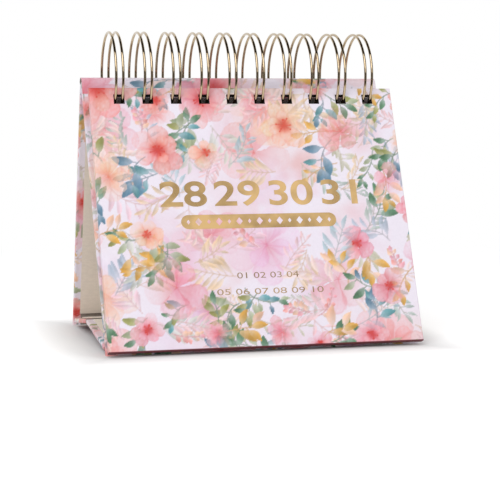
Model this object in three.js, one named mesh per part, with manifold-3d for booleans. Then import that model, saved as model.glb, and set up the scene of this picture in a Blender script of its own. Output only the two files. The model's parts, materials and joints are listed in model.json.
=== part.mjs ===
// Daily flip calendar: a hardcover easel with a front cover and leaves on a double-loop wire.
// Millimetres, +Z up, X across the width, -Y towards the reader, origin under the middle on the table.
import * as THREE from 'three';
import Module from 'manifold-3d';
import { mergeVertices } from 'three/addons/utils/BufferGeometryUtils.js';

const wasm = await Module();
wasm.setup();

// Driving dimensions
const coverWidth = 139;
const coverHeight = 119;
const coverThickness = 3;
const coverLift = 2.4;
const coverLean = THREE.MathUtils.degToRad(22.9);
const legThickness = 2.4;
const frontLean = THREE.MathUtils.degToRad(28);
const backLean = THREE.MathUtils.degToRad(15.5);
const apexBehindLoops = 8.5;
const apexBelowLoops = 3.9;
const panelThickness = 1.8;
const panelPivotHeight = 3.2;
const ridgeRise = 5;
const paperThickness = 0.4;
const easelFold = THREE.MathUtils.degToRad(25);
const leafCount = 3;
const leafThickness = 0.3;
const leafSideInset = 4;
const leafFootInset = 11;
const blockThickness = 1.8;
const wireDiameter = 1.1;
const wireRootAngle = THREE.MathUtils.degToRad(-83.5);
const wireCornerRadius = 1.3;
const loopRadius = 19.2;
const loopPitch = 12.7;
const loopRowMargin = 10;
const loopRowOffset = 0.6;
const pairSpacing = 3.1;
const coverHangAngle = THREE.MathUtils.degToRad(32.05);
const coverHangSlack = 0.49;
const holeWidth = 4.8;
const holeHeight = 4.5;
const holeMargin = 5.4;
const turnInWidth = 3;
const endpaperTopMargin = 2;
const frontPaperFootRise = 14;
const backPaperFootRise = 6;
const panelPaperInset = 8;

// Clearances
const seatGap = 0.3;
const blockGap = 0.35;
const hingeGap = 0.4;
const openPivotGap = 4;
const ridgeGap = 0.3;
const closureGap = 2.2;

// Facets
const loopSteps = 24;
const wireSides = 6;
const cornerSteps = 3;
const tipSteps = 6;
const capSteps = 12;

// How far a punch's cut reaches, in sheet thicknesses
const punchReach = 4;

// As many pairs of loops as the cover's width has room for at the wire's pitch
const loopCount = Math.floor((coverWidth - 2 * loopRowMargin) / loopPitch) + 1;

// Section points are [y, z]. The cover's foot carries its windows, they hang on the loops, and the
// loops carry the apex. All are then moved so that the depth is centred.
const coverFoot = new THREE.Vector2(0, coverLift);
const coverWindow = new THREE.Vector2(Math.sin(coverLean), Math.cos(coverLean))
  .multiplyScalar(coverHeight - holeMargin)
  .add(coverFoot);
const loopCentre = new THREE.Vector2(Math.cos(coverHangAngle), Math.sin(coverHangAngle))
  .multiplyScalar(loopRadius + coverHangSlack)
  .add(coverWindow);
const apex = new THREE.Vector2(apexBehindLoops, -apexBelowLoops).add(loopCentre);
const apexHeight = apex.y;
const backFootReach = (apexHeight + legThickness * Math.sin(backLean)) * Math.tan(backLean);
const depth = apex.x + legThickness * Math.cos(backLean) + backFootReach;
[coverFoot, loopCentre, apex].forEach((point) => point.setX(point.x - depth / 2));

const materials = {
  cover: new THREE.MeshStandardMaterial({ color: 0xe9c3c9, roughness: 0.45, metalness: 0 }),
  print: new THREE.MeshStandardMaterial({ color: 0xdf9aa2, roughness: 0.45, metalness: 0 }),
  endpaper: new THREE.MeshStandardMaterial({ color: 0xd8cbbd, roughness: 0.8, metalness: 0 }),
  leaf: new THREE.MeshStandardMaterial({ color: 0xf6f2ec, roughness: 0.85, metalness: 0 }),
  wire: new THREE.MeshStandardMaterial({ color: 0xc9a66b, roughness: 0.25, metalness: 1 }),
};

const group = new THREE.Group();
group.name = 'daily_flip_calendar';

// A straight piece along X from a closed outline of [y, z] points.
function prism(outline, width) {
  const shape = new THREE.Shape(outline.map(([y, z]) => new THREE.Vector2(y, z)));
  const geometry = new THREE.ExtrudeGeometry(shape, { depth: width, bevelEnabled: false });
  geometry.translate(0, 0, -width / 2);
  const axes = new THREE.Matrix4().makeBasis(
    new THREE.Vector3(0, 1, 0),
    new THREE.Vector3(0, 0, 1),
    new THREE.Vector3(1, 0, 0),
  );
  return geometry.applyMatrix4(axes);
}

function toSolid(geometry) {
  const bare = geometry.clone();
  bare.deleteAttribute('normal');
  bare.deleteAttribute('uv');
  const merged = mergeVertices(bare, 1e-4);
  const mesh = new wasm.Mesh({
    numProp: 3,
    vertProperties: new Float32Array(merged.attributes.position.array),
    triVerts: new Uint32Array(merged.index.array),
  });
  return new wasm.Manifold(mesh);
}

function fromSolid(solid) {
  const mesh = solid.getMesh();
  const geometry = new THREE.BufferGeometry();
  geometry.setAttribute('position', new THREE.BufferAttribute(new Float32Array(mesh.vertProperties), 3));
  geometry.setIndex(new THREE.BufferAttribute(new Uint32Array(mesh.triVerts), 1));
  geometry.computeVertexNormals();
  return geometry;
}

// The row of punched windows, one for each pair of loops, centred on a height of the sheet.
function punched(sheet, thickness, windowHeight, centreZ) {
  const through = thickness * punchReach;
  let solid = toSolid(sheet);
  for (let i = 0; i < loopCount; i += 1) {
    const window = new THREE.BoxGeometry(holeWidth, through, windowHeight);
    window.translate(loopX(i), 0, centreZ);
    solid = solid.subtract(toSolid(window));
  }
  return fromSolid(solid);
}

function loopX(i) {
  return (i - (loopCount - 1) / 2) * loopPitch + loopRowOffset;
}

function addPiece(parent, name, geometry, material) {
  const mesh = new THREE.Mesh(geometry, material);
  mesh.name = name;
  parent.add(mesh);
}

// A leaning frame: local Z runs up the sheet, local +Y is its normal away from the reader.
function leaningGroup(origin, lean) {
  const frame = new THREE.Group();
  frame.position.set(0, origin.x, origin.y);
  frame.rotation.x = -lean;
  group.add(frame);
  return frame;
}

function sheetBox(width, thickness, height, centreY, bottomZ) {
  const box = new THREE.BoxGeometry(width, thickness, height);
  box.translate(0, centreY, bottomZ + height / 2);
  return box;
}

// Front cover: one board that hangs on the loops in front of the leaves
function addFrontCover() {
  const frame = leaningGroup(coverFoot, coverLean);
  const board = sheetBox(coverWidth, coverThickness, coverHeight, coverThickness / 2, 0);
  const holeZ = coverHeight - holeMargin;
  const cover = punched(board, coverThickness, holeHeight, holeZ);
  addPiece(frame, 'front_cover_board', cover, materials.cover);
}

// A sheet that hangs on the loops at a signed distance behind their centre
function hangingFrame(distance, lean) {
  const normal = new THREE.Vector2(Math.cos(lean), -Math.sin(lean));
  const foot = loopCentre.clone().addScaledVector(normal, distance);
  return leaningGroup(foot, lean);
}

function hangingSheet(name, distance, lean, thickness) {
  const frame = hangingFrame(distance, lean);
  const height = coverHeight - leafFootInset;
  const holeZ = -Math.sqrt(loopRadius ** 2 - distance ** 2);
  const bottomZ = holeZ + holeMargin - height;
  const sheet = sheetBox(coverWidth - 2 * leafSideInset, thickness, height, 0, bottomZ);
  addPiece(frame, name, punched(sheet, thickness, holeHeight, holeZ), materials.leaf);
}

// Distances behind the loops' centre, along each plane's own normal
const frontNormal = new THREE.Vector2(Math.cos(frontLean), -Math.sin(frontLean));
const coverNormal = new THREE.Vector2(Math.cos(coverLean), -Math.sin(coverLean));
const legInnerDistance = apex.clone().sub(loopCentre).dot(frontNormal);
const legFaceDistance = legInnerDistance - legThickness;
const blockFrontDistance = legFaceDistance - blockGap - blockThickness;
const coverBackDistance = coverFoot.clone().sub(loopCentre).dot(coverNormal) + coverThickness;

function addLeaves() {
  const blockCentre = blockFrontDistance + blockThickness / 2;
  hangingSheet('page_block', blockCentre, frontLean, blockThickness);
  for (let i = 1; i <= leafCount; i += 1) {
    const part = i / (leafCount + 1);
    const distance = THREE.MathUtils.lerp(coverBackDistance, blockFrontDistance, part);
    const lean = THREE.MathUtils.lerp(coverLean, frontLean, part);
    hangingSheet(`leaf_${i}`, distance, lean, leafThickness);
  }
}

// Easel legs: local origin at the apex, inner faces on local y = 0, feet cut level with the table
function legOutline(outerY, tilt) {
  const footZ = (y) => -(apexHeight + y * Math.sin(tilt)) / Math.cos(tilt);
  return [[0, 0], [outerY, 0], [outerY, footZ(outerY)], [0, footZ(0)]];
}

function endpaper(width, height, side, bottomZ) {
  const centreY = side * (seatGap + paperThickness / 2);
  return sheetBox(width, paperThickness, height, centreY, bottomZ);
}

const endpaperWidth = coverWidth - 2 * turnInWidth;

// How far below the apex the loops cross the middle of a leg's board
function crossingDepth(side, tilt) {
  const centre = loopCentre.clone().sub(apex).rotateAround(new THREE.Vector2(), -tilt);
  const reach = (side * legThickness) / 2 - centre.x;
  return Math.sqrt(loopRadius ** 2 - reach ** 2) - centre.y;
}

// The windows run from the loops' crossing at rest to their crossing when the leg is folded
function addLeg(name, side, tilt, fold, paperFootRise) {
  const frame = leaningGroup(apex, -tilt);
  const board = prism(legOutline(side * legThickness, tilt), coverWidth);
  const restDepth = crossingDepth(side, tilt);
  const foldedDepth = crossingDepth(side, tilt - fold);
  const slotHeight = holeHeight + foldedDepth - restDepth;
  const slotZ = -(restDepth + foldedDepth) / 2;
  const leg = punched(board, legThickness, slotHeight, slotZ);
  addPiece(frame, `${name}_board`, leg, materials.print);
  const bottomZ = -apexHeight / Math.cos(tilt) + paperFootRise;
  const topZ = slotZ + slotHeight / 2 + endpaperTopMargin;
  const paper = endpaper(endpaperWidth, topZ - bottomZ, -side, bottomZ);
  const pasted = punched(paper, legThickness, slotHeight, slotZ);
  addPiece(frame, `${name}_endpaper`, pasted, materials.endpaper);
}

// Paper hinge over the apex, from the front leg's face to the back leg's face
function addTopHinge() {
  const inner = legThickness + seatGap;
  const outer = inner + paperThickness;
  const start = Math.PI - frontLean;
  const end = backLean;
  const arc = (radius, from, to) => Array.from({ length: capSteps + 1 }, (_, k) => {
    const angle = THREE.MathUtils.lerp(from, to, k / capSteps);
    return [apex.x + radius * Math.cos(angle), apex.y + radius * Math.sin(angle)];
  });
  const outline = [...arc(outer, start, end), ...arc(inner, end, start)].reverse();
  addPiece(group, 'top_hinge_strip', prism(outline, coverWidth), materials.print);
}

// Base panels: each hinges at a leg's foot and rises to the ridge between them
function addBase() {
  const frontPivot = new THREE.Vector2(
    apex.x - (apexHeight - panelPivotHeight) * Math.tan(frontLean),
    panelPivotHeight,
  );
  const backPivot = new THREE.Vector2(
    apex.x + (apexHeight - panelPivotHeight) * Math.tan(backLean),
    panelPivotHeight,
  );
  const legDifference = frontPivot.distanceTo(apex) - backPivot.distanceTo(apex);
  const span = backPivot.x - frontPivot.x;
  const frontRun = (span + legDifference) / 2;
  const frontTilt = Math.atan2(ridgeRise, frontRun);
  const backTilt = Math.atan2(ridgeRise, span - frontRun);
  addPanel('front_base', frontPivot, frontRun, frontTilt, 1, hingeGap);
  addPanel('rear_base', backPivot, span - frontRun, backTilt, -1, openPivotGap);
}

function addPanel(name, pivot, run, tilt, side, start) {
  const frame = new THREE.Group();
  frame.position.set(0, pivot.x, pivot.y);
  group.add(frame);
  const drop = panelThickness / Math.cos(tilt);
  const rise = (y) => y * Math.tan(tilt);
  const end = run - ridgeGap;
  const section = [
    [start, rise(start) - drop],
    [end, rise(end) - drop],
    [end, rise(end)],
    [start, rise(start)],
  ];
  const outline = section.map(([y, z]) => [side * y, z]);
  if (side < 0) outline.reverse();
  addPiece(frame, `${name}_panel`, prism(outline, coverWidth), materials.print);
  const paperFrame = new THREE.Group();
  paperFrame.rotation.x = side * tilt;
  frame.add(paperFrame);
  const length = run / Math.cos(tilt) - panelPaperInset - turnInWidth;
  const sheet = new THREE.BoxGeometry(endpaperWidth, length, paperThickness);
  sheet.translate(0, side * (panelPaperInset + length / 2), seatGap + paperThickness / 2);
  addPiece(paperFrame, `${name}_endpaper`, sheet, materials.endpaper);
}

// The wire's path runs in equal shares of its stations, with no smoothing between them
class StationCurve extends THREE.Curve {
  constructor(stations) {
    super();
    this.stations = stations;
  }

  getPoint(t, target = new THREE.Vector3()) {
    const last = this.stations.length - 1;
    const place = THREE.MathUtils.clamp(t, 0, 1) * last;
    const index = Math.min(Math.floor(place), last - 1);
    return target.lerpVectors(this.stations[index], this.stations[index + 1], place - index);
  }

  getPointAt(u, target) {
    return this.getPoint(u, target);
  }

  getTangentAt(u, target) {
    return this.getTangent(u, target);
  }
}

// Double-loop binding: one unbroken wire, laid out flat as [x, distance along the loop] and rolled up
function wireStations() {
  const flat = [];
  const tip = 2 * Math.PI * loopRadius - closureGap;
  const tipRadius = pairSpacing / 2;
  const arc = (cx, cs, radius, from, to, steps) => {
    for (let k = 1; k <= steps; k += 1) {
      const angle = THREE.MathUtils.lerp(from, to, k / steps);
      flat.push([cx + radius * Math.cos(angle), cs + radius * Math.sin(angle)]);
    }
  };
  const climb = (x, from, to) => {
    for (let k = 1; k <= loopSteps; k += 1) flat.push([x, THREE.MathUtils.lerp(from, to, k / loopSteps)]);
  };
  for (let i = 0; i < loopCount; i += 1) {
    const left = loopX(i) - tipRadius;
    const right = loopX(i) + tipRadius;
    const foot = wireCornerRadius;
    if (i === 0) flat.push([left, foot]);
    climb(left, foot, tip - tipRadius);
    arc(loopX(i), tip - tipRadius, tipRadius, Math.PI, 0, tipSteps);
    climb(right, tip - tipRadius, foot);
    if (i === loopCount - 1) break;
    arc(right + wireCornerRadius, foot, wireCornerRadius, Math.PI, 1.5 * Math.PI, cornerSteps);
    const next = loopX(i + 1) - tipRadius;
    flat.push([next - wireCornerRadius, 0]);
    arc(next - wireCornerRadius, foot, wireCornerRadius, -0.5 * Math.PI, 0, cornerSteps);
  }
  return flat.map(([x, s]) => {
    const angle = wireRootAngle - s / loopRadius;
    const y = loopCentre.x + loopRadius * Math.cos(angle);
    return new THREE.Vector3(x, y, loopCentre.y + loopRadius * Math.sin(angle));
  });
}

// The least clear distance between stretches of the wire that lie further apart along it than a tip's bend
function leastWireGap(stations) {
  const skip = (Math.PI * pairSpacing) / 2 + wireDiameter;
  const along = [0];
  stations.slice(1).forEach((point, k) => along.push(along[k] + point.distanceTo(stations[k])));
  let least = Infinity;
  for (let i = 0; i < stations.length; i += 1) {
    for (let j = i + 1; j < stations.length - 1; j += 1) {
      if (along[j] - along[i] < skip) continue;
      const segment = new THREE.Line3(stations[j], stations[j + 1]);
      const nearest = segment.closestPointToPoint(stations[i], true, new THREE.Vector3());
      least = Math.min(least, nearest.distanceTo(stations[i]));
    }
  }
  return least - wireDiameter;
}

function addWireBinding() {
  const stations = wireStations();
  const section = new THREE.Shape(Array.from({ length: wireSides }, (_, k) => {
    const angle = (2 * Math.PI * k) / wireSides;
    return new THREE.Vector2(Math.cos(angle), Math.sin(angle)).multiplyScalar(wireDiameter / 2);
  }));
  const geometry = new THREE.ExtrudeGeometry(section, {
    steps: stations.length - 1,
    extrudePath: new StationCurve(stations),
    bevelEnabled: false,
  });
  addPiece(group, 'wire_binding', geometry, materials.wire);
  console.log(`least gap of the wire to itself: ${leastWireGap(stations).toFixed(2)} mm`);
}

addFrontCover();
addLeaves();
addLeg('front_leg', -1, -frontLean, 0, frontPaperFootRise);
addLeg('back_leg', 1, backLean, easelFold, backPaperFootRise);
addTopHinge();
addBase();
addWireBinding();

export default group;
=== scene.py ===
"""Looks for the daily flip calendar: covering paper, endpapers, gold foil, wire and a pale studio."""
import json
import math

import bpy
import numpy as np
from bpy.props import FloatProperty, FloatVectorProperty, IntProperty, PointerProperty
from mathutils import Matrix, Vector


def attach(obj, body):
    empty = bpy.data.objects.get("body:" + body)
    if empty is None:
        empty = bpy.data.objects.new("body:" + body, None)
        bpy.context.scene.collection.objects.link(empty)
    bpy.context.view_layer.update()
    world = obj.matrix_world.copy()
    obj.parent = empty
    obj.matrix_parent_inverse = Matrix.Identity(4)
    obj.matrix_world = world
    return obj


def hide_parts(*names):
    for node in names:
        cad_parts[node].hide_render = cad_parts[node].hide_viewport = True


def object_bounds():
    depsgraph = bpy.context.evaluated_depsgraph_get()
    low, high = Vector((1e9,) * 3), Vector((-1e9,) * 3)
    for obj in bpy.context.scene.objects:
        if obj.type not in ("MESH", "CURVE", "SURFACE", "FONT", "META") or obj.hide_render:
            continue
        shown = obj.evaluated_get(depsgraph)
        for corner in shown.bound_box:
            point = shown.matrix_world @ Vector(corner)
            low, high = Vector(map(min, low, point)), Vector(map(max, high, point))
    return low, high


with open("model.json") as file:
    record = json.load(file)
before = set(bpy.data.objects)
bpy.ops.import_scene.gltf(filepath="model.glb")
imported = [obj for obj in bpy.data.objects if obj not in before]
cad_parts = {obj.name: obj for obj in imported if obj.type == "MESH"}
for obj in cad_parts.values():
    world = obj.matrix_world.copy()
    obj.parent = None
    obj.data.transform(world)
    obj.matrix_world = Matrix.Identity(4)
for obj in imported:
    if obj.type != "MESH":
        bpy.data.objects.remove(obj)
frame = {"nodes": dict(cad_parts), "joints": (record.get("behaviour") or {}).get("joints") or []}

bl_info = {
    "name": "Daily Flip Calendar",
    "version": (1, 0, 0),
    "blender": (4, 5, 0),
    "location": "View3D > Sidebar > Calendar",
    "description": "Dresses the packed flip calendar with printed paper, foil, wire and a studio",
    "category": "Object",
}

FOUND_AT_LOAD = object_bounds()
MM = 0.001
WHITE = (1, 1, 1, 1)


def joint_place(name):
    """Where a joint's axis lies in the frame."""
    return next(j for j in frame["joints"] if j["name"] == name)["pos_m"]


LOOP_CENTRE = joint_place("cover_turn")


def colour_property(name, description, default):
    return FloatVectorProperty(
        name=name, description=description, default=default, size=3, min=0, max=1, subtype="COLOR"
    )


def length_property(name, description, default):
    return FloatProperty(
        name=name, description=description, default=default, min=0, precision=5,
        subtype="DISTANCE", unit="LENGTH",
    )


def angle_property(name, description, degrees):
    return FloatProperty(
        name=name, description=description, default=math.radians(degrees), subtype="ANGLE", unit="ROTATION"
    )


def power_property(name, description, default):
    return FloatProperty(
        name=name, description=description, default=default, min=0, subtype="POWER", unit="POWER"
    )


class CalendarPrintSettings(bpy.types.PropertyGroup):
    """Colours and scale of the floral covering paper"""

    ground: colour_property("Ground", "Unprinted ground of the paper", (0.945, 0.915, 0.962))
    pink: colour_property("Pink", "Pigment of the pink blossoms", (0.93, 0.62, 0.67))
    coral: colour_property("Coral", "Pigment of the coral blossoms", (0.94, 0.60, 0.57))
    peach: colour_property("Peach", "Pigment of the peach blossoms", (0.96, 0.76, 0.64))
    lilac: colour_property("Lilac", "Pigment of the lilac blossoms", (0.92, 0.75, 0.87))
    leaf_green: colour_property("Leaf green", "Pigment of the green leaves", (0.29, 0.48, 0.34))
    olive: colour_property("Olive", "Pigment of the olive leaves", (0.58, 0.59, 0.31))
    sage: colour_property("Sage", "Pigment of the pale sage leaves", (0.64, 0.69, 0.54))
    slate: colour_property("Slate", "Pigment of the blue-grey leaves", (0.34, 0.50, 0.60))
    teal: colour_property("Teal", "Pigment of the teal leaves", (0.33, 0.58, 0.61))
    mustard: colour_property("Mustard", "Pigment of the mustard leaves", (0.86, 0.64, 0.27))
    # a deep print colour that is also painted shade, under the cover's foot and on the base panels' undersides
    maroon_shade: colour_property("Maroon", "Flat colour under the cover's foot and the base", (0.42, 0.13, 0.17))
    blossom_radius: length_property("Blossom radius", "Usual radius of a large blossom", 0.0145)
    cover_grid: length_property("Cover grid", "Distance between painted points on the cover", 0.00042)
    easel_grid: length_property("Easel grid", "Distance between painted points on the easel", 0.0006)
    paper_lift: length_property("Paper lift", "How proud the covering paper stands", 0.00005)
    edge_radius: length_property("Edge radius", "Rounding of the paper over a board's edge", 0.0005)
    turn_in: length_property("Turn-in", "Width of the paper turned over the inner face", 0.003)
    hinge_clearance: length_property(
        "Hinge clearance", "Length by which the base panels' paper stops short of their hinges", 0.0005
    )
    hinge_lap: length_property("Hinge lap", "How far the apex paper laps down the front leg", 0.006)


class CalendarFoilSettings(bpy.types.PropertyGroup):
    """Gold foil ornament on the cover"""

    gold: colour_property("Foil gold", "Colour of the hot foil", (0.50, 0.335, 0.155))
    fine_line: colour_property("Fine line", "Colour of the small rows of figures", (0.37, 0.25, 0.14))
    numeral_height: length_property("Numeral height", "Height of the row of numerals", 0.0118)
    numeral_base: length_property("Numeral base", "Height of the numerals' foot on the cover", 0.0632)
    row_left: length_property("Row left", "Left end of the row of numerals", 0.0272)
    row_width: length_property("Row width", "Width of the row of numerals", 0.0895)
    bar_base: length_property("Bar base", "Height of the gold bar's lower edge", 0.0531)
    bar_height: length_property("Bar height", "Height of the gold bar", 0.0064)
    bar_left: length_property("Bar left", "Left end of the gold bar", 0.0356)
    bar_width: length_property("Bar width", "Width of the gold bar", 0.0700)


class CalendarWireSettings(bpy.types.PropertyGroup):
    """The double-loop wire"""

    gold: colour_property("Wire gold", "Colour of the lacquered wire", (0.51, 0.395, 0.25))
    diameter: length_property("Diameter", "Diameter of the wire", 0.0012)
    loop_radius: length_property("Loop radius", "Radius of a loop at the wire's middle", 0.0192)
    pitch: length_property("Pitch", "Distance from one pair of loops to the next", 0.0127)
    pair_spacing: length_property("Pair spacing", "Distance between the two wires of a pair", 0.0031)
    row_offset: length_property("Row offset", "Shift of the row of loops to the right", 0.0006)
    corner_radius: length_property("Corner radius", "Bend at the foot of a loop", 0.0013)
    closure_gap: length_property("Closure gap", "Gap left where a loop closes", 0.0022)
    root_angle: angle_property("Root angle", "Where the loops close, round their centre", -83.5)
    pairs: IntProperty(name="Pairs", description="How many pairs of loops", default=10, min=2, max=40)
    steps: IntProperty(name="Steps", description="Steps in each side of a loop", default=84, min=24, max=200)


class CalendarPaperSettings(bpy.types.PropertyGroup):
    """Plain papers and board"""

    endpaper: colour_property("Endpaper", "Colour of the pasted endpapers", (0.90, 0.81, 0.71))
    leaf: colour_property("Leaf", "Colour of the daily leaves", (0.93, 0.90, 0.86))
    board: colour_property("Board", "Colour of the raw board", (0.42, 0.36, 0.31))
    # painted shade: the near-black colour seen in the front cover's windows
    core: colour_property("Core", "Colour of the front cover's dark core in its windows", (0.030, 0.024, 0.022))


class CalendarStageSettings(bpy.types.PropertyGroup):
    """Camera, floor and lamps"""

    camera_place: FloatVectorProperty(
        name="Camera place", description="Where the camera stands", size=3, subtype="TRANSLATION",
        unit="LENGTH", default=(-0.17455, -0.67402, 0.1054),
    )
    camera_yaw: angle_property("Camera yaw", "Turn of the camera to the right of +Y", 14.89)
    camera_pitch: angle_property("Camera pitch", "Tilt of the camera above the horizon", -5.47)
    lens: FloatProperty(
        name="Lens", description="Focal length on a 36 mm sensor, in millimetres", default=110.6,
        min=10, max=300,
    )
    floor: colour_property("Floor", "Colour of the floor", (0.90, 0.90, 0.90))
    floor_lift: FloatProperty(
        name="Floor lift", description="White added to the floor where the camera looks", default=0.40,
        min=0, max=1,
    )
    ambient: FloatProperty(name="Ambient", description="Strength of the even light", default=0.60, min=0)
    key_power: power_property("Key power", "Power of the large lamp at the upper left", 9)
    fill_power: power_property("Fill power", "Power of the lamp at the right", 2.5)


# Painting of the covering paper

USUAL_AREA = 16500  # square millimetres of a sheet with the counts as they are given


def smooth(low, high, value):
    """A soft step from 0 at low to 1 at high."""
    t = np.clip((value - low) / (high - low), 0, 1)
    return t * t * (3 - 2 * t)


class Watercolour:
    """A floral painted at a grid of places on a sheet of paper. Lengths are in millimetres."""

    def __init__(self, across, up, ground, seed):
        self.x, self.y = np.meshgrid(across, up)
        self.ground = np.asarray(ground)
        self.rgb = np.ones(self.x.shape + (3,)) * self.ground
        self.rng = np.random.default_rng(seed)
        self.fine = self.clouds(2.0)
        self.broad = self.clouds(9.0)

    def clouds(self, size):
        """Soft noise from -1 to 1 with features of about that size."""
        total = np.zeros_like(self.x)
        waves = 6
        for _ in range(waves):
            angle, phase = self.rng.uniform(0, 2 * math.pi, 2)
            k = 2 * math.pi / (size * self.rng.uniform(0.7, 1.8))
            bend = 0.9 * np.sin(self.y * k * 0.6 + phase * 1.7) + 0.9 * np.sin(self.x * k * 0.7 - phase)
            total += np.sin((self.x * math.cos(angle) + self.y * math.sin(angle)) * k + phase + bend)
        return total / waves

    def near(self, cx, cy, reach):
        """The part of the grid within reach of a point, or None."""
        rows = np.flatnonzero(np.abs(self.y[:, 0] - cy) < reach)
        columns = np.flatnonzero(np.abs(self.x[0] - cx) < reach)
        if not len(rows) or not len(columns):
            return None
        return slice(rows[0], rows[-1] + 1), slice(columns[0], columns[-1] + 1)

    def glaze(self, part, mask, colour):
        """Lays a transparent pigment over what is there."""
        self.rgb[part] *= 1 - mask[..., None] * (1 - np.asarray(colour))

    def body(self, part, mask, colour):
        """Lays an opaque pigment over what is there."""
        self.rgb[part] += mask[..., None] * (np.asarray(colour) - self.rgb[part])

    def along_across(self, part, cx, cy, angle):
        """Distances from a point along a direction and square to it."""
        dx, dy = self.x[part] - cx, self.y[part] - cy
        c, s = math.cos(angle), math.sin(angle)
        return dx * c + dy * s, dy * c - dx * s

    def wash(self, cx, cy, radius, colour, strength):
        """A soft round stain with an uneven rim."""
        part = self.near(cx, cy, radius * 1.7)
        if part is None:
            return
        dx, dy = self.x[part] - cx, self.y[part] - cy
        reach = np.hypot(dx, dy) / radius + 0.35 * self.broad[part]
        self.glaze(part, strength * smooth(1.15, 0.1, reach), colour)

    def petal(self, cx, cy, angle, length, width, pigment, opacity, fade):
        """A lobed petal, crisp at its rim, whose pigment thins out towards one side of the blossom."""
        part = self.near(cx + 0.5 * length * math.cos(angle), cy + 0.5 * length * math.sin(angle), length)
        if part is None:
            return
        along, across = self.along_across(part, cx, cy, angle)
        p = np.clip(along / length, 0, 1)
        dome = np.sqrt(np.clip(1 - ((p - 0.66) / 0.34) ** 2, 0, 1))
        crown = np.where(p < 0.66, smooth(-0.12, 0.66, p), dome)
        wavy = 1 + 0.10 * self.fine[part] + 0.07 * np.cos(across / width * 15 + 2 * p)
        half = 0.5 * width * crown * wavy + 1e-6
        edge = 1 - np.abs(across) / half
        on = smooth(0.0, 0.14, edge) * ((along > 0) & (along < length))
        dx, dy = self.x[part] - cx, self.y[part] - cy
        faded = (dx * math.cos(fade) + dy * math.sin(fade)) / length
        wet = smooth(-1.1, 0.5, faded + 0.35 * self.broad[part])
        pigment = np.asarray(pigment)
        throat = pigment * (0.94, 0.70, 0.72)
        deep = smooth(0.75, 0.0, p) * 0.8
        shade = pigment + deep[..., None] * (throat - pigment)
        bloom = 0.30 * smooth(0.35, 0.8, p) * (1 + self.fine[part])
        shade = shade + np.clip(bloom, 0, 0.6)[..., None] * (self.ground - shade)
        self.body(part, on * opacity * (0.25 + 0.75 * wet), shade)
        rim = smooth(0.0, 0.10, edge) * smooth(0.34, 0.10, edge) * on
        self.glaze(part, 0.22 * opacity * wet * rim, throat)
        vein = smooth(0.07 * width, 0.0, np.abs(across)) * smooth(0.75, 0.1, p) * on
        self.glaze(part, 0.22 * opacity * wet * vein, throat)

    def blossom(self, cx, cy, radius, petals, pigment, opacity):
        """One ring of petals, or two where there are more than five, with stamens if it is near full."""
        turn, fade = self.rng.uniform(0, 2 * math.pi, 2)
        rings = ((0, 1.0), (0.5, 0.66)) if petals > 5 else ((0, 1.0),)
        for ring, scale in rings:
            for k in self.rng.permutation(petals):
                angle = turn + 2 * math.pi * (k + ring) / petals + self.rng.normal(0, 0.12)
                length = radius * scale * self.rng.uniform(0.82, 1.15)
                tint = np.clip(np.asarray(pigment) * self.rng.uniform(0.97, 1.04, 3), 0, 1)
                width = length * self.rng.uniform(0.78, 1.05) * 5.2 / petals
                self.petal(cx, cy, angle, length, width, tint, opacity, fade)
        if opacity > 0.6:
            self.stamens(cx, cy, radius * 0.20, np.asarray(pigment) * (0.90, 0.45, 0.42))

    def stamens(self, cx, cy, radius, dark):
        """A blossom's dark eye, with a ring of threads that end in dots."""
        part = self.near(cx, cy, radius * 3)
        if part is None:
            return
        dx, dy = self.x[part] - cx, self.y[part] - cy
        self.glaze(part, 0.55 * smooth(2.0, 0.1, np.hypot(dx, dy) / radius), dark)
        for _ in range(8):
            angle, far = self.rng.uniform(0, 2 * math.pi), radius * self.rng.uniform(0.8, 1.6)
            tip = (cx + far * math.cos(angle), cy + far * math.sin(angle))
            self.stem([(cx, cy), tip], dark, 0.7, 0.12)
            dot = np.hypot(dx - far * math.cos(angle), dy - far * math.sin(angle))
            self.body(part, 0.7 * smooth(0.55, 0.25, dot), dark * (1.0, 0.8, 0.7))

    def leaf(self, cx, cy, angle, length, width, pigment, opacity):
        """A pointed leaf that is pale at its foot and full at its tip, with one half a little darker."""
        middle = 0.5 * length
        part = self.near(cx + middle * math.cos(angle), cy + middle * math.sin(angle), length)
        if part is None:
            return
        along, across = self.along_across(part, cx, cy, angle)
        p = np.clip(along / length, 0, 1)
        across = across - 0.07 * length * np.sin(math.pi * p)
        half = 0.5 * width * np.power(np.clip(np.sin(math.pi * np.power(p, 0.85)), 0, 1), 0.8) + 1e-6
        edge = 1 - np.abs(across) / half
        inside = smooth(0.0, 0.20, edge) * ((along > 0) & (along < length))
        base = np.asarray(pigment)
        dark = 0.5 + 0.5 * np.tanh(across / (0.14 * width))
        shade = base * (0.92 + 0.12 * dark)[..., None]
        thin = 0.45 * smooth(0.75, 0.0, p) + 0.10 * self.fine[part]
        shade = shade + np.clip(thin, 0, 1)[..., None] * (self.ground - shade)
        self.body(part, opacity * inside, np.clip(shade, 0, 1))

    def stem(self, points, pigment, opacity, thick=0.16):
        """A thin opaque line through the points."""
        for (ax, ay), (bx, by) in zip(points, points[1:]):
            length = math.hypot(bx - ax, by - ay)
            part = self.near((ax + bx) / 2, (ay + by) / 2, length / 2 + 1)
            if part is None:
                continue
            along, across = self.along_across(part, ax, ay, math.atan2(by - ay, bx - ax))
            past = np.maximum(np.maximum(-along, along - length), 0)
            line = smooth(thick + 0.24, thick * 0.4, np.hypot(across, past))
            self.body(part, opacity * line, pigment)

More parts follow.
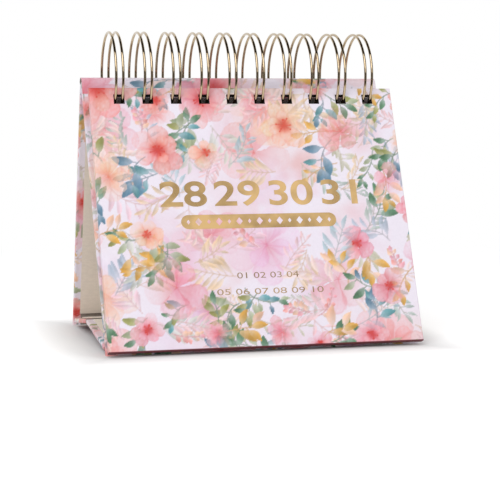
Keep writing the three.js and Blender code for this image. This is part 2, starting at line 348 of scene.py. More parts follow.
    def spray(self, cx, cy, angle, length, leaf_length, pigments, pairs, plump, opacity=0.92):
        """A bending stem with pairs of leaves or buds on short stalks that grow smaller to its tip."""
        bend = self.rng.uniform(-0.8, 0.8)
        last = 8
        turns = angle + bend * np.arange(last + 1) / last
        reach = length * np.arange(last + 1) / last
        points = list(zip(cx + reach * np.cos(turns), cy + reach * np.sin(turns)))
        tone = 0.35 * self.ground + 0.65 * np.asarray(pigments[0]) * (0.86, 0.78, 0.74)
        self.stem(points, tone, 0.85 * opacity)
        stalk = 0.22 * leaf_length
        for k in range(1, pairs + 1):
            t = k / (pairs + 0.4)
            for side in (-1, 1):
                s = min(t + 0.10 * side, 0.97)
                i = min(int(s * last), last - 1)
                x, y = np.asarray(points[i]) + (s * last - i) * (np.asarray(points[i + 1]) - points[i])
                size = leaf_length * (1.1 - 0.40 * t) * self.rng.uniform(0.8, 1.1)
                pigment = pigments[self.rng.integers(len(pigments))]
                tint = np.clip(np.asarray(pigment) * self.rng.uniform(0.92, 1.08), 0, 1)
                way = angle + bend * t + side * self.rng.uniform(0.6, 1.0)
                foot = (x + stalk * math.cos(way), y + stalk * math.sin(way))
                self.stem([(x, y), foot], tone, 0.85 * opacity)
                self.leaf(*foot, way, size, size * plump, tint, opacity)
        tip = leaf_length * 0.8
        self.leaf(*points[-1], angle + bend, tip, tip * plump, pigments[0], opacity)


def floral_colours(across, up, settings, seed, clear=()):
    """Colours of a floral at each place of a grid. clear lists ellipses (x, y, rx, ry) to keep open."""
    art = Watercolour(across, up, settings.ground, seed)
    rng = art.rng
    low, high = (across[0], up[0]), (across[-1], up[-1])
    area = (high[0] - low[0]) * (high[1] - low[1]) / USUAL_AREA
    radius = settings.blossom_radius / MM

    def pigments(*names):
        return [tuple(getattr(settings, name)) for name in names]

    flowers = pigments("pink", "coral", "peach", "lilac")
    greens = pigments("leaf_green", "olive", "sage")
    blues = pigments("slate", "teal")
    warm = pigments("mustard", "peach")
    families = (greens, greens, blues, warm, greens + blues)
    pale = [0.48 * np.asarray(c) + 0.52 * art.ground for c in flowers[:3] + greens + blues + warm + warm]

    def openness(x, y, size=0.0):
        """Above 0 inside a clear ellipse that is grown by the size, up to 1 at its middle."""
        depths = [1 - math.hypot((x - cx) / (rx + size), (y - cy) / (ry + size)) for cx, cy, rx, ry in clear]
        return max(depths, default=0.0)

    def one_of(choices):
        return choices[rng.integers(len(choices))]

    def scattered(count, margin, reach, size=0.0):
        """Places that leave the clear ellipses open, and a way to turn at each."""
        for _ in range(int(count * area)):
            x, y = (rng.uniform(low[i] - margin, high[i] + margin) for i in (0, 1))
            way = rng.uniform(0, 2 * math.pi)
            if openness(x + size * math.cos(way), y + size * math.sin(way)) <= reach:
                yield x, y, way

    # Soft washes, then faint blossoms and pale sprays behind the rest
    for x, y, _ in scattered(44, 0, 1):
        art.wash(x, y, rng.uniform(7, 15), one_of(flowers), rng.uniform(0.04, 0.22))
    for x, y, _ in scattered(18, 0, 0.3):
        art.blossom(x, y, radius * rng.uniform(0.6, 1.3), int(rng.integers(5, 9)), one_of(flowers), 0.42)
    for x, y, way in scattered(80, 0, 0.35, 8.0):
        art.spray(x, y, way, rng.uniform(12, 22), rng.uniform(5, 9), [one_of(pale)], 5, 0.32, 0.75)
    # Spots for the full blossoms, each apart from the last
    spots = []
    for x, y, _ in scattered(1500, 2.0, 0):
        size = radius * rng.choice((0.5, 0.8, 1.25), p=(0.32, 0.36, 0.32)) * rng.uniform(0.9, 1.1)
        apart = all(math.hypot(x - a, y - b) > 1.12 * (size + s) for a, b, s in spots)
        if apart and openness(x, y, size) <= 0:
            spots.append((x, y, size))
    # Sprays of buds or leaves between the spots, then leaves round each, then the blossoms over them
    for x, y, way in scattered(36, 0, 0.04, 10.0):
        if rng.uniform() < 0.35:
            art.spray(x, y, way, rng.uniform(8, 14), rng.uniform(2.6, 4.2), flowers[:3], 4, 0.75, 0.85)
        else:
            art.spray(x, y, way, rng.uniform(10, 18), rng.uniform(5.5, 9.5), one_of(families), 3, 0.50, 0.9)
    for x, y, size in spots:
        for _ in range(rng.integers(1, 3)):
            way = rng.uniform(0, 2 * math.pi)
            c, s = math.cos(way), math.sin(way)
            if openness(x + 1.8 * size * c, y + 1.8 * size * s, 3.0) > 0:
                continue
            start = (x + 0.6 * size * c, y + 0.6 * size * s)
            length = size * rng.uniform(0.7, 1.1) + 4
            art.spray(*start, way, length, rng.uniform(6.5, 10), one_of(families), 2, 0.5)
    for x, y, size in spots:
        pigment = flowers[rng.choice(4, p=(0.44, 0.32, 0.16, 0.08))]
        art.blossom(x, y, size, int(rng.integers(5, 8)), pigment, rng.choice((0.6, 0.92)))
    return np.clip(art.rgb, 0, 1)


def to_linear(rgb):
    """Linear light for colours as they are shown."""
    return np.where(rgb <= 0.04045, rgb / 12.92, ((rgb + 0.055) / 1.055) ** 2.4)


# Sheets of covering paper over a board


class Face:
    """The flat face of a CAD node that looks one way: its corner, directions, size and windows."""

    def __init__(self, node, outward):
        mesh = frame["nodes"][node].data
        points = np.array([v.co for v in mesh.vertices])
        facing = [p for p in mesh.polygons if p.normal.dot(Vector(outward)) > 0.8]
        if not facing:
            raise RuntimeError(f"{node} has no face that looks along {outward}")
        normal = sum((p.normal * p.area for p in facing), Vector())
        self.out = np.array(normal.normalized())
        self.right = np.array((1.0, 0, 0)) if self.out[1] < 0 or self.out[2] < -0.8 else np.array((-1.0, 0, 0))
        self.up = np.cross(self.out, self.right)
        own = points[sorted({v for p in facing for v in p.vertices})]
        a, b, d = own @ self.right, own @ self.up, points @ self.out
        self.width, self.height = np.ptp(a), np.ptp(b)
        self.depth = np.ptp(d)
        self.corner = self.right * a.min() + self.up * b.min() + self.out * d.max()
        inner = (a > a.min() + MM) & (a < a.max() - MM) & (b > b.min() + MM) & (b < b.max() - MM)
        edges = np.unique(np.round((a[inner] - a.min()) / MM, 3)) * MM
        self.windows = [] if not inner.any() else [
            (left, right, b[inner].min() - b.min(), b[inner].max() - b.min())
            for left, right in zip(edges[::2], edges[1::2])
        ]

    def at(self, across, up, proud):
        """The place that far across and up the face, and that far proud of it."""
        return self.corner + self.right * across + self.up * up + self.out * proud


def bend_round(s, size, depth, radius):
    """(place across, depth) of paper at s along it, where it turns round both edges of a board."""
    arc = math.pi * radius / 2
    flat = depth - 2 * radius
    past = np.maximum(radius - s, s - (size - radius))
    first = np.clip(past, 0, arc) / radius
    second = np.clip(past - arc - flat, 0, arc) / radius
    inside = np.maximum(past - 2 * arc - flat, 0)
    edge = radius * (1 - np.sin(first)) + radius * (1 - np.cos(second)) + inside
    down = radius * (1 - np.cos(first)) + np.clip(past - arc, 0, flat) + radius * np.sin(second)
    place = np.where(past <= 0, s, np.where(s < size / 2, edge, size - edge))
    return place, down


def paper_lines(size, depth, radius, step, turn_in, wraps, snaps):
    """Places along the paper where the grid has its lines, with the bends and the snapped windows in them."""
    arc = math.pi * radius / 2
    flat = depth - 2 * radius
    bends = [arc * k / 3 for k in (1, 2, 3)]
    past = bends + [arc + flat / 2] + [arc + flat + x for x in [0] + bends]
    past += [2 * arc + flat + turn_in * k / 4 for k in (1, 2, 3, 4)]
    lines = np.linspace(radius, size - radius, max(2, round((size - 2 * radius) / step)) + 1)
    for place in snaps:
        lines[np.argmin(np.abs(lines - place))] = place
    before = [radius - p for p in reversed(past)] if wraps[0] else [0.0]
    after = [size - radius + p for p in past] if wraps[1] else [size]
    return np.array(before + list(lines) + after)


def placed(name, data):
    """An object with the data, in the scene."""
    piece = bpy.data.objects.new(name, data)
    bpy.context.scene.collection.objects.link(piece)
    return piece


def filled(curve):
    """The mesh that a row of figures or an outline fills."""
    drawn = placed(curve.name, curve)
    mesh = bpy.data.meshes.new_from_object(drawn.evaluated_get(bpy.context.evaluated_depsgraph_get()))
    bpy.data.objects.remove(drawn)
    mesh.name = curve.name
    return mesh


def grid_quads(rows, columns):
    """The corners of each cell in a grid of points."""
    index = np.arange(rows * columns).reshape(rows, columns)
    return np.stack([index[:-1, :-1], index[:-1, 1:], index[1:, 1:], index[1:, :-1]], -1)


def printed_sheet(name, face, settings, step, seed, wraps, material, maroon_shade, slope=0.0, clear=(), short=0.0):
    """Covering paper on a face, bent round the edges that wraps names as (left, right, bottom, top).

    It stops short of its bottom and top by the given length, and its foot or face is a flat print maroon that
    is also painted shade.
    """
    lift, radius = settings.paper_lift, settings.edge_radius
    width, height, depth = face.width + 2 * lift, face.height + 2 * lift, face.depth + 2 * lift
    across_snaps = [x + lift for w in face.windows for x in w[:2]]
    up_snaps = [y + lift for w in face.windows[:1] for y in w[2:]]
    u = paper_lines(width, depth, radius, step, settings.turn_in, wraps[:2], across_snaps)
    v = paper_lines(height, depth, radius, step, settings.turn_in, wraps[2:], up_snaps)
    v[0] += short
    v[-1] -= short
    a, da = bend_round(u, width, depth, radius) if any(wraps[:2]) else (u, np.zeros_like(u))
    b, db = bend_round(v, height, depth, radius) if any(wraps[2:]) else (v, np.zeros_like(v))
    down = np.maximum(da[None, :], db[:, None])
    rise = b[:, None] + down * slope * (1 - b[:, None] / height)
    places = face.at(-lift, -lift, lift) + a[None, :, None] * face.right
    places = places + rise[..., None] * face.up - down[..., None] * face.out
    rgb = floral_colours(u / MM, v / MM, settings, seed, clear)
    # painted shade: flat maroon under the foot, or over the whole face of a base panel's underside
    if maroon_shade == "foot":
        rgb[v < radius] = settings.maroon_shade
    elif maroon_shade == "face":
        rgb[:, (u > radius) & (u < width - radius)] = settings.maroon_shade
    mid_u, mid_v = (u[:-1] + u[1:]) / 2, (v[:-1] + v[1:]) / 2
    keep = ~((da[:-1] + da[1:] > 2 * radius)[None, :] & (db[:-1] + db[1:] > 2 * radius)[:, None])
    for left, right, low, high in face.windows:
        in_u = (mid_u > left + lift) & (mid_u < right + lift)
        in_v = (mid_v > low + lift) & (mid_v < high + lift)
        keep &= ~(in_u[None, :] & in_v[:, None])
    return painted_mesh(name, places, grid_quads(len(v), len(u))[keep], to_linear(rgb), material)


def painted_mesh(name, places, quads, rgb, material):
    """A mesh whose points carry the painted colours in an attribute that the paper's material reads."""
    used, quads = np.unique(quads, return_inverse=True)
    mesh = bpy.data.meshes.new(name)
    mesh.from_pydata(places.reshape(-1, 3)[used].tolist(), [], quads.reshape(-1, 4).tolist())
    ink = mesh.color_attributes.new("ink", "FLOAT_COLOR", "POINT")
    rgba = np.column_stack([rgb.reshape(-1, 3)[used], np.ones(len(used))])
    ink.data.foreach_set("color", rgba.ravel().astype(np.float32))
    mesh.shade_smooth()
    mesh.materials.append(material)
    return placed(name, mesh)


# Materials

LEAF_LINE = 0.00022  # metres from one leaf's line to the next
FIBRE_STRETCH = (1.0, 1.0, 2.5)


class Wiring:
    """A node tree with a few helpers for wiring it."""

    def __init__(self, tree):
        self.nodes, self.links = tree.nodes, tree.links

    def feed(self, socket, value):
        """Links a socket to another one, or sets its own value."""
        if isinstance(value, bpy.types.NodeSocket):
            self.links.new(value, socket)
        else:
            socket.default_value = value

    def add(self, kind, values=None, **facts):
        """A new node with its facts set and its inputs fed, by name or number."""
        node = self.nodes.new(kind)
        for key, value in facts.items():
            setattr(node, key, value)
        for key, value in (values or {}).items():
            self.feed(node.inputs[key], value)
        return node

    def number(self, operation, *values):
        """The result of a sum on numbers."""
        return self.add("ShaderNodeMath", dict(enumerate(values)), operation=operation).outputs[0]

    def vector(self, operation, *values):
        """The result of a sum on vectors: a number for a length or a dot product, otherwise a vector."""
        node = self.add("ShaderNodeVectorMath", dict(enumerate(values)), operation=operation)
        return node.outputs["Value" if operation in ("LENGTH", "DOT_PRODUCT") else "Vector"]

    def seen_rays(self):
        """1 for rays that see the white studio: from the camera, off gloss or through glass."""
        path = self.add("ShaderNodeLightPath").outputs
        seen = self.number("MAXIMUM", path["Is Camera Ray"], path["Is Glossy Ray"])
        return self.number("MAXIMUM", seen, path["Is Transmission Ray"])


class Recipe(Wiring):
    """A material on the principled shader."""

    def __init__(self, name):
        self.material = bpy.data.materials.new(name)
        self.material.use_nodes = True
        super().__init__(self.material.node_tree)
        self.shader = self.nodes["Principled BSDF"]

    def set(self, **values):
        """Feeds the shader's own sockets, whose names have _ for a space."""
        for key, value in values.items():
            self.feed(self.shader.inputs[key.replace("_", " ")], value)

    def place(self):
        return self.add("ShaderNodeTexCoord").outputs["Object"]

    def noise(self, scale, detail=4.0, stretch=None):
        place = self.place()
        if stretch:
            place = self.add("ShaderNodeMapping", {"Vector": place, "Scale": stretch}).outputs["Vector"]
        facts = {"Vector": place, "Scale": scale, "Detail": detail}
        return self.add("ShaderNodeTexNoise", facts).outputs["Fac"]

    def ramp(self, fac, low, high, low_value, high_value):
        return self.add("ShaderNodeMapRange", {
            "Value": fac, "From Min": low, "From Max": high, "To Min": low_value, "To Max": high_value,
        }).outputs["Result"]

    def mix(self, fac, first, second, blend="MIX"):
        colours = {0: fac, 6: first, 7: second}
        return self.add("ShaderNodeMix", colours, data_type="RGBA", blend_type=blend).outputs[2]

    def bump(self, height, strength, distance):
        node = self.add("ShaderNodeBump", {"Height": height, "Strength": strength, "Distance": distance})
        self.set(Normal=node.outputs["Normal"])

    def fibres(self, colour, scale, dark):
        """Uncoated paper's roughness and relief, and the tone that its fibres give the colour."""
        fibre = self.noise(scale, 7, FIBRE_STRETCH)
        self.set(Roughness=self.ramp(fibre, 0.3, 0.7, 0.79, 0.91), Specular_IOR_Level=0.3)
        self.bump(fibre, 0.35, 0.00006)
        return self.mix(self.ramp(fibre, 0.35, 0.65, 0, 1), solid(colour, dark), solid(colour))


def solid(colour, share=1.0):
    """The colour with an alpha of 1, darkened or brightened by the share."""
    return (*(min(1.0, c * share) for c in colour), 1.0)


def covering_paper():
    """Silk-laminated printed paper: painted ink, a trace of fibre and an uneven sheen."""
    made = bpy.data.materials.get("covering_paper")
    if made:
        return made
    recipe = Recipe("covering_paper")
    ink = recipe.add("ShaderNodeAttribute", attribute_name="ink").outputs["Color"]
    fibre = recipe.noise(900, 6)
    shade = recipe.ramp(fibre, 0.3, 0.7, 0.965, 1.0)
    tone = recipe.add("ShaderNodeCombineColor", dict.fromkeys(("Red", "Green", "Blue"), shade)).outputs["Color"]
    sheen = recipe.ramp(recipe.noise(60, 3), 0.3, 0.7, 0.40, 0.52)
    recipe.set(Base_Color=recipe.mix(1.0, ink, tone, "MULTIPLY"), Roughness=sheen, Specular_IOR_Level=0.45)
    recipe.bump(fibre, 0.25, 0.00004)
    return recipe.material


def plain_paper(name, colour, fibre_scale, mottle):
    """Uncoated paper: long and short fibres, faint mottling and a matt face."""
    recipe = Recipe(name)
    tone = recipe.fibres(colour, fibre_scale, 1 - mottle)
    cloud = recipe.ramp(recipe.noise(45, 3), 0.4, 0.62, 0, 0.5)
    recipe.set(Base_Color=recipe.mix(cloud, tone, solid(colour, 1 - 0.6 * mottle)))
    return recipe.material


def lined_board(lining, core, outward):
    """A board with endpaper on its inner face and near black on every other face, which is painted shade in its
    windows.
    """
    recipe = Recipe("lined_board")
    normal = recipe.add("ShaderNodeTexCoord").outputs["Normal"]
    inner = recipe.ramp(recipe.vector("DOT_PRODUCT", normal, tuple(-outward)), 0.90, 0.95, 0, 1)
    # painted shade: every face but the inner one is near black, so the windows look deep in shade
    recipe.set(Base_Color=recipe.mix(inner, solid(core), recipe.fibres(lining, 420, 0.93)))
    return recipe.material


def leaf_paper(name, colour, face):
    """Leaf paper with painted shade in its punched margin: near black where ambient occlusion finds other
    sheets close.
    """
    recipe = Recipe(name)
    tone = recipe.fibres(colour, 700, 0.95)
    near = recipe.add("ShaderNodeAmbientOcclusion", {"Distance": 0.006}, samples=8).outputs["AO"]
    along = recipe.vector("DOT_PRODUCT", recipe.place(), tuple(face.up))
    margin = float(face.corner @ face.up) + face.windows[0][2]
    punched = recipe.ramp(along, margin - 0.006, margin - 0.002, 0, 1)
    # painted shade: the colour darkens towards near black in the punched margin where other sheets lie close
    shade = recipe.number("MULTIPLY", punched, recipe.ramp(near, 0.30, 0.85, 1, 0))
    recipe.set(Base_Color=recipe.mix(shade, tone, solid(colour, 0.03)))
    return recipe.material


def page_edges(colour, direction):
    """Paper that shows its leaves as fine lines on the cut sides."""
    recipe = Recipe("page_edges")
    across = recipe.vector("DOT_PRODUCT", recipe.place(), tuple(direction))
    saw = recipe.number("FRACT", recipe.number("MULTIPLY", across, 1 / LEAF_LINE))
    fibre = recipe.noise(1200, 5)
    shadow = solid(colour, 0.72)
    lines = recipe.mix(recipe.ramp(saw, 0.0, 0.35, 0.0, 1.0), shadow, solid(colour))
    tone = recipe.mix(recipe.ramp(fibre, 0.4, 0.6, 0, 0.25), lines, shadow)
    recipe.set(Base_Color=tone, Roughness=recipe.ramp(fibre, 0.3, 0.7, 0.8, 0.92))
    recipe.bump(fibre, 0.3, 0.00005)
    return recipe.material


def hot_foil(name, colour, metallic):
    """Gold foil pressed into the paper: bright metal with a slight mottle."""
    recipe = Recipe(name)
    mottle = recipe.noise(70, 4)
    tone = recipe.mix(recipe.ramp(mottle, 0.38, 0.62, 0, 1), solid(colour, 0.84), solid(colour, 1.42))
    recipe.set(Base_Color=tone, Metallic=metallic, Roughness=recipe.ramp(mottle, 0.3, 0.7, 0.26, 0.36))
    recipe.bump(recipe.noise(2500, 3), 0.12, 0.00001)
    return recipe.material


def lacquered_wire(colour):
    """Gold lacquered wire: smooth metal with faint drawing marks and a clear coat."""
    recipe = Recipe("lacquered_wire")
    marks = recipe.noise(700, 3, stretch=(6.0, 1.0, 1.0))
    tone = recipe.mix(recipe.ramp(marks, 0.35, 0.65, 0, 1), solid(colour, 0.86), solid(colour))
    recipe.set(Base_Color=tone, Metallic=1.0, Roughness=recipe.ramp(marks, 0.3, 0.7, 0.05, 0.10))
    recipe.set(Coat_Weight=0.35, Coat_Roughness=0.08)
    recipe.bump(marks, 0.1, 0.00002)
    return recipe.material


def assign(node, material):
    """Gives a CAD node the one material."""
    piece = frame["nodes"][node]
    piece.data.materials.clear()
    piece.data.materials.append(material)


def soften(node, width):
    """Rounds a board's cut edges a little."""
    piece = frame["nodes"][node]
    weld = piece.modifiers.new("weld", "WELD")
    weld.merge_threshold = 0.000005
    bevel = piece.modifiers.new("bevel", "BEVEL")
    bevel.width = width
    bevel.segments = 2
    bevel.limit_method = "ANGLE"
    bevel.angle_limit = math.radians(40)


# Operators

# Ways that faces look, then measures in metres unless a comment gives another
FRONT = (0, -1, 0)
LEG_FRONT = (0, -1, 0.2)
OPEN_GROUND = (  # shares of the cover's width and height, and reaches in millimetres
    (0.53, 0.545, 55, 17),
    (0.55, 0.24, 32, 10),
)
FOIL_LIFT = 0.00004  # above the covering paper
BOLD, LIGHT = 0.018, -0.004  # what the figures' strokes gain
CLOSE_GAP, FULL_GAP = 0.45, 1.0  # shares of a word space
UPPER_ROW = (0.0580, 0.0304, 0.0275, 0.0026)  # left, foot, width and height
LOWER_ROW = (0.0485, 0.0232, 0.0475, 0.0026)
LOZENGES = 15
LARGE_LOZENGE, SMALL_LOZENGE = (0.0015, 0.0018), (0.0008, 0.0011)  # halves of width and height
HINGE_LAP_STEPS, HINGE_BEND_LINES = 12, 15  # of the apex paper's grid


class CALENDAR_OT_front_cover(bpy.types.Operator):
    """Dress the front cover in printed paper, with endpaper inside and painted shade in its windows"""

    bl_idname = "calendar.front_cover"
    bl_label = "Front Cover"

    def execute(self, context):
        settings, papers = context.scene.calendar_print, context.scene.calendar_paper
        face = Face("front_cover_board", FRONT)
        wide, tall = face.width / MM, face.height / MM
        clear = [(x * wide, y * tall, rx, ry) for x, y, rx, ry in OPEN_GROUND]
        # the wrap under the foot is flat maroon, a print colour that is also painted shade
        sheet = printed_sheet(
            "front_cover_paper", face, settings, settings.cover_grid, 41, (True,) * 4, covering_paper(), "foot",
            clear=clear,
        )
        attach(sheet, "front_cover")
        assign("front_cover_board", lined_board(papers.endpaper, papers.core, face.out))
        soften("front_cover_board", settings.edge_radius)
        return {"FINISHED"}


class CALENDAR_OT_cover_foil(bpy.types.Operator):
    """Press the gold numerals, bar and rows of small figures on the cover"""

    bl_idname = "calendar.cover_foil"
    bl_label = "Cover Foil"

    def execute(self, context):
        settings = context.scene.calendar_foil
        face = Face("front_cover_board", FRONT)
        foil = hot_foil("hot_foil", settings.gold, 1.0)
        fine = hot_foil("fine_foil", settings.fine_line, 0.6)
        proud = context.scene.calendar_print.paper_lift + FOIL_LIFT
        numerals = (settings.row_left, settings.numeral_base, settings.row_width, settings.numeral_height)
        for name, words, box, weight, gap, material in (
            ("foil_numerals", "28 29 30 31", numerals, BOLD, CLOSE_GAP, foil),
            ("foil_small_row_upper", "01 02 03 04", UPPER_ROW, LIGHT, FULL_GAP, fine),
            ("foil_small_row_lower", "05 06 07 08 09 10", LOWER_ROW, LIGHT, FULL_GAP, fine),
        ):
            piece = self.row(name, words, face, box, weight, gap, proud)
            piece.data.materials.append(material)
            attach(piece, "front_cover")
        bar = self.bar(face, settings, proud)
        bar.data.materials.append(foil)
        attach(bar, "front_cover")
        return {"FINISHED"}

    def row(self, name, words, face, box, weight, gap, proud):
        """Figures as a thin mesh that fills a box (left, foot, width, height) on the face."""
        curve = bpy.data.curves.new(name, "FONT")
        curve.body, curve.offset, curve.space_word = words, weight, gap
        mesh = filled(curve)
        points = np.array([v.co for v in mesh.vertices])
        low, high = points.min(0), points.max(0)
        left, base, width, height = box
        for vertex in mesh.vertices:
            a = left + (vertex.co.x - low[0]) / (high[0] - low[0]) * width
            b = base + (vertex.co.y - low[1]) / (high[1] - low[1]) * height
            vertex.co = face.at(a, b, proud)
        return placed(name, mesh)

    def bar(self, face, settings, proud):
        """A bar with round ends and a row of small lozenges left open in it."""
        radius = settings.bar_height / 2
        middle = settings.bar_base + radius
        left, right = settings.bar_left + radius, settings.bar_left + settings.bar_width - radius
        outline = []
        for centre, start in ((right, -0.5), (left, 0.5)):
            for k in range(13):
                angle = math.pi * (start + k / 12)
                outline.append((centre + radius * math.cos(angle), middle + radius * math.sin(angle)))
        shapes = [outline]
        for k in range(LOZENGES):
            x = left + (right - left) * k / (LOZENGES - 1)
            wide, tall = LARGE_LOZENGE if k % 2 else SMALL_LOZENGE
            shapes.append([(x - wide, middle), (x, middle + tall), (x + wide, middle), (x, middle - tall)])
        curve = bpy.data.curves.new("foil_bar", "CURVE")
        curve.dimensions, curve.fill_mode = "2D", "BOTH"
        for shape in shapes:
            spline = curve.splines.new("POLY")
            spline.points.add(len(shape) - 1)
            spline.use_cyclic_u = True
            for point, (x, y) in zip(spline.points, shape):
                point.co = (x, y, 0, 1)
        mesh = filled(curve)
        for vertex in mesh.vertices:
            vertex.co = face.at(vertex.co.x, vertex.co.y, proud)
        return placed("foil_bar", mesh)


class CALENDAR_OT_leaves(bpy.types.Operator):
    """Give the loose leaves and the page block their paper"""

    bl_idname = "calendar.leaves"
    bl_label = "Leaves"

    def execute(self, context):
        colour = context.scene.calendar_paper.leaf
        for node in ("leaf_1", "leaf_2", "leaf_3"):
            assign(node, leaf_paper(f"{node}_paper", colour, Face(node, FRONT)))
        assign("page_block", page_edges(colour, Face("page_block", FRONT).out))
        return {"FINISHED"}


class CALENDAR_OT_easel(bpy.types.Operator):
    """Dress the easel's legs and base in printed paper, with endpapers inside"""

    bl_idname = "calendar.easel"
    bl_label = "Easel"

    def execute(self, context):
        settings, papers = context.scene.calendar_print, context.scene.calendar_paper
        paper = covering_paper()
        board = plain_paper("raw_board", papers.board, 500, 0.25)
        lining = plain_paper("endpaper", papers.endpaper, 420, 0.07)
        sides = (True, True, False, False)
        for body, node, outward, seed, maroon_shade in (
            ("front_leg", "front_leg_board", LEG_FRONT, 23, ""),
            ("back_leg", "back_leg_board", (0, 1, 0.2), 37, ""),
            # the base panels' undersides are flat maroon, painted shade under the easel
            ("front_base", "front_base_panel", (0, 0, -1), 47, "face"),
            ("rear_base", "rear_base_panel", (0, 0, -1), 43, "face"),
        ):
            face = Face(node, outward)
            slope = 0.0 if maroon_shade else abs(face.out[2] / face.out[1])
            sheet = printed_sheet(
                f"{body}_paper", face, settings, settings.easel_grid, seed, sides, paper, maroon_shade, slope,
                short=settings.hinge_clearance if maroon_shade else 0.0,
            )
            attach(sheet, body)
            assign(node, board)
            assign(f"{body}_endpaper", lining)
            soften(node, settings.edge_radius)
        self.hinge(settings, paper)
        assign("top_hinge_strip", board)
        return {"FINISHED"}

    def hinge(self, settings, paper):
        """Printed skin over the paper hinge at the apex."""
        points = np.array([v.co for v in frame["nodes"]["top_hinge_strip"].data.vertices])
        apex = joint_place("easel_fold")
        rel = points[:, 1:] - np.array(apex[1:])
        angle, reach = np.arctan2(rel[:, 1], rel[:, 0]), np.hypot(rel[:, 0], rel[:, 1])
        radius = reach.max() + settings.paper_lift
        low, high = points[:, 0].min(), points[:, 0].max()
        across = np.arange(low, high + settings.easel_grid / 2, settings.easel_grid)
        face = Face("front_leg_board", LEG_FRONT)
        face_reach = (face.corner[1:] - np.array(apex[1:])) @ face.out[1:] + 2 * settings.paper_lift
        lap = np.linspace(settings.hinge_lap, 0, HINGE_LAP_STEPS + 1)[:-1]
        bend = np.linspace(angle.max(), angle.min(), HINGE_BEND_LINES)
        turns = np.concatenate([np.full(len(lap), angle.max()), bend])
        fall = np.concatenate([lap, np.zeros(len(bend))])
        radii = face_reach + (radius - face_reach) * smooth(0.8, 0.0, fall / settings.hinge_lap)
        along = settings.hinge_lap - fall + radius * (angle.max() - turns)
        rgb = to_linear(floral_colours((across - low) / MM, along / MM, settings, 53))
        grid_x, grid_t = np.meshgrid(across, turns)
        places = np.stack([
            grid_x,
            apex[1] + radii[:, None] * np.cos(grid_t) - fall[:, None] * face.up[1],
            apex[2] + radii[:, None] * np.sin(grid_t) - fall[:, None] * face.up[2],
        ], -1)
        skin = painted_mesh("top_hinge_paper", places, grid_quads(*grid_x.shape), rgb, paper)
        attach(skin, "front_leg")


class CALENDAR_OT_wire_binding(bpy.types.Operator):
    """Bend the double-loop wire, one unbroken length, through the punched windows"""

    bl_idname = "calendar.wire_binding"
    bl_label = "Wire Binding"

    def execute(self, context):
        settings = context.scene.calendar_wire
        flat = self.laid_out(settings)
        curve = bpy.data.curves.new("wire_loops", "CURVE")
        curve.dimensions = "3D"
        curve.bevel_depth = settings.diameter / 2
        curve.bevel_resolution = 3
        curve.use_fill_caps = True
        spline = curve.splines.new("POLY")
        spline.points.add(len(flat) - 1)
        for point, (x, s) in zip(spline.points, flat):
            angle = settings.root_angle - s / settings.loop_radius
            y = LOOP_CENTRE[1] + settings.loop_radius * math.cos(angle)
            z = LOOP_CENTRE[2] + settings.loop_radius * math.sin(angle)
            point.co = (x, y, z, 1)
        spline.use_smooth = True
        curve.materials.append(lacquered_wire(settings.gold))
        wire = placed("wire_loops", curve)
        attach(wire, "front_leg")
        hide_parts("wire_binding")
        return {"FINISHED"}

    def laid_out(self, settings):
        """The wire's path as (place across, distance round the loop) before it is rolled up."""
        path = []
        tip_radius, corner = settings.pair_spacing / 2, settings.corner_radius
        top = 2 * math.pi * settings.loop_radius - settings.closure_gap - tip_radius

        def arc(x, s, radius, start, end, steps):
            for k in range(1, steps + 1):
                angle = start + (end - start) * k / steps
                path.append((x + radius * math.cos(angle), s + radius * math.sin(angle)))

        def climb(x, start, end):
            for k in range(1, settings.steps + 1):
                path.append((x, start + (end - start) * k / settings.steps))

        for i in range(settings.pairs):
            middle = (i - (settings.pairs - 1) / 2) * settings.pitch + settings.row_offset
            left, right = middle - tip_radius, middle + tip_radius
            if i == 0:
                path.append((left, corner))
            climb(left, corner, top)
            arc(middle, top, tip_radius, math.pi, 0, 12)
            climb(right, top, corner)
            if i < settings.pairs - 1:
                arc(right + corner, corner, corner, math.pi, 1.5 * math.pi, 6)
                following = left + settings.pitch
                path.append((following - corner, 0))
                arc(following - corner, corner, corner, -0.5 * math.pi, 0, 6)
        return path


# The studio's lengths, in metres apart from the sensor's millimetres
SENSOR_WIDTH = 36
LAMP_AIM = (0, 0, 0.06)
FLOOR_HALF = 3.0
FLOOR_LIFTS = (0.001, 0.022)  # past the calendar's footprint
FLOOR_FADES = (0.16, 0.42)  # from the middle


def one_face(name, corners, material):
    """A stage piece with one face."""
    mesh = bpy.data.meshes.new(name)
    mesh.from_pydata(corners, [], [(0, 1, 2, 3)])
    mesh.materials.append(material)
    return placed(name, mesh)


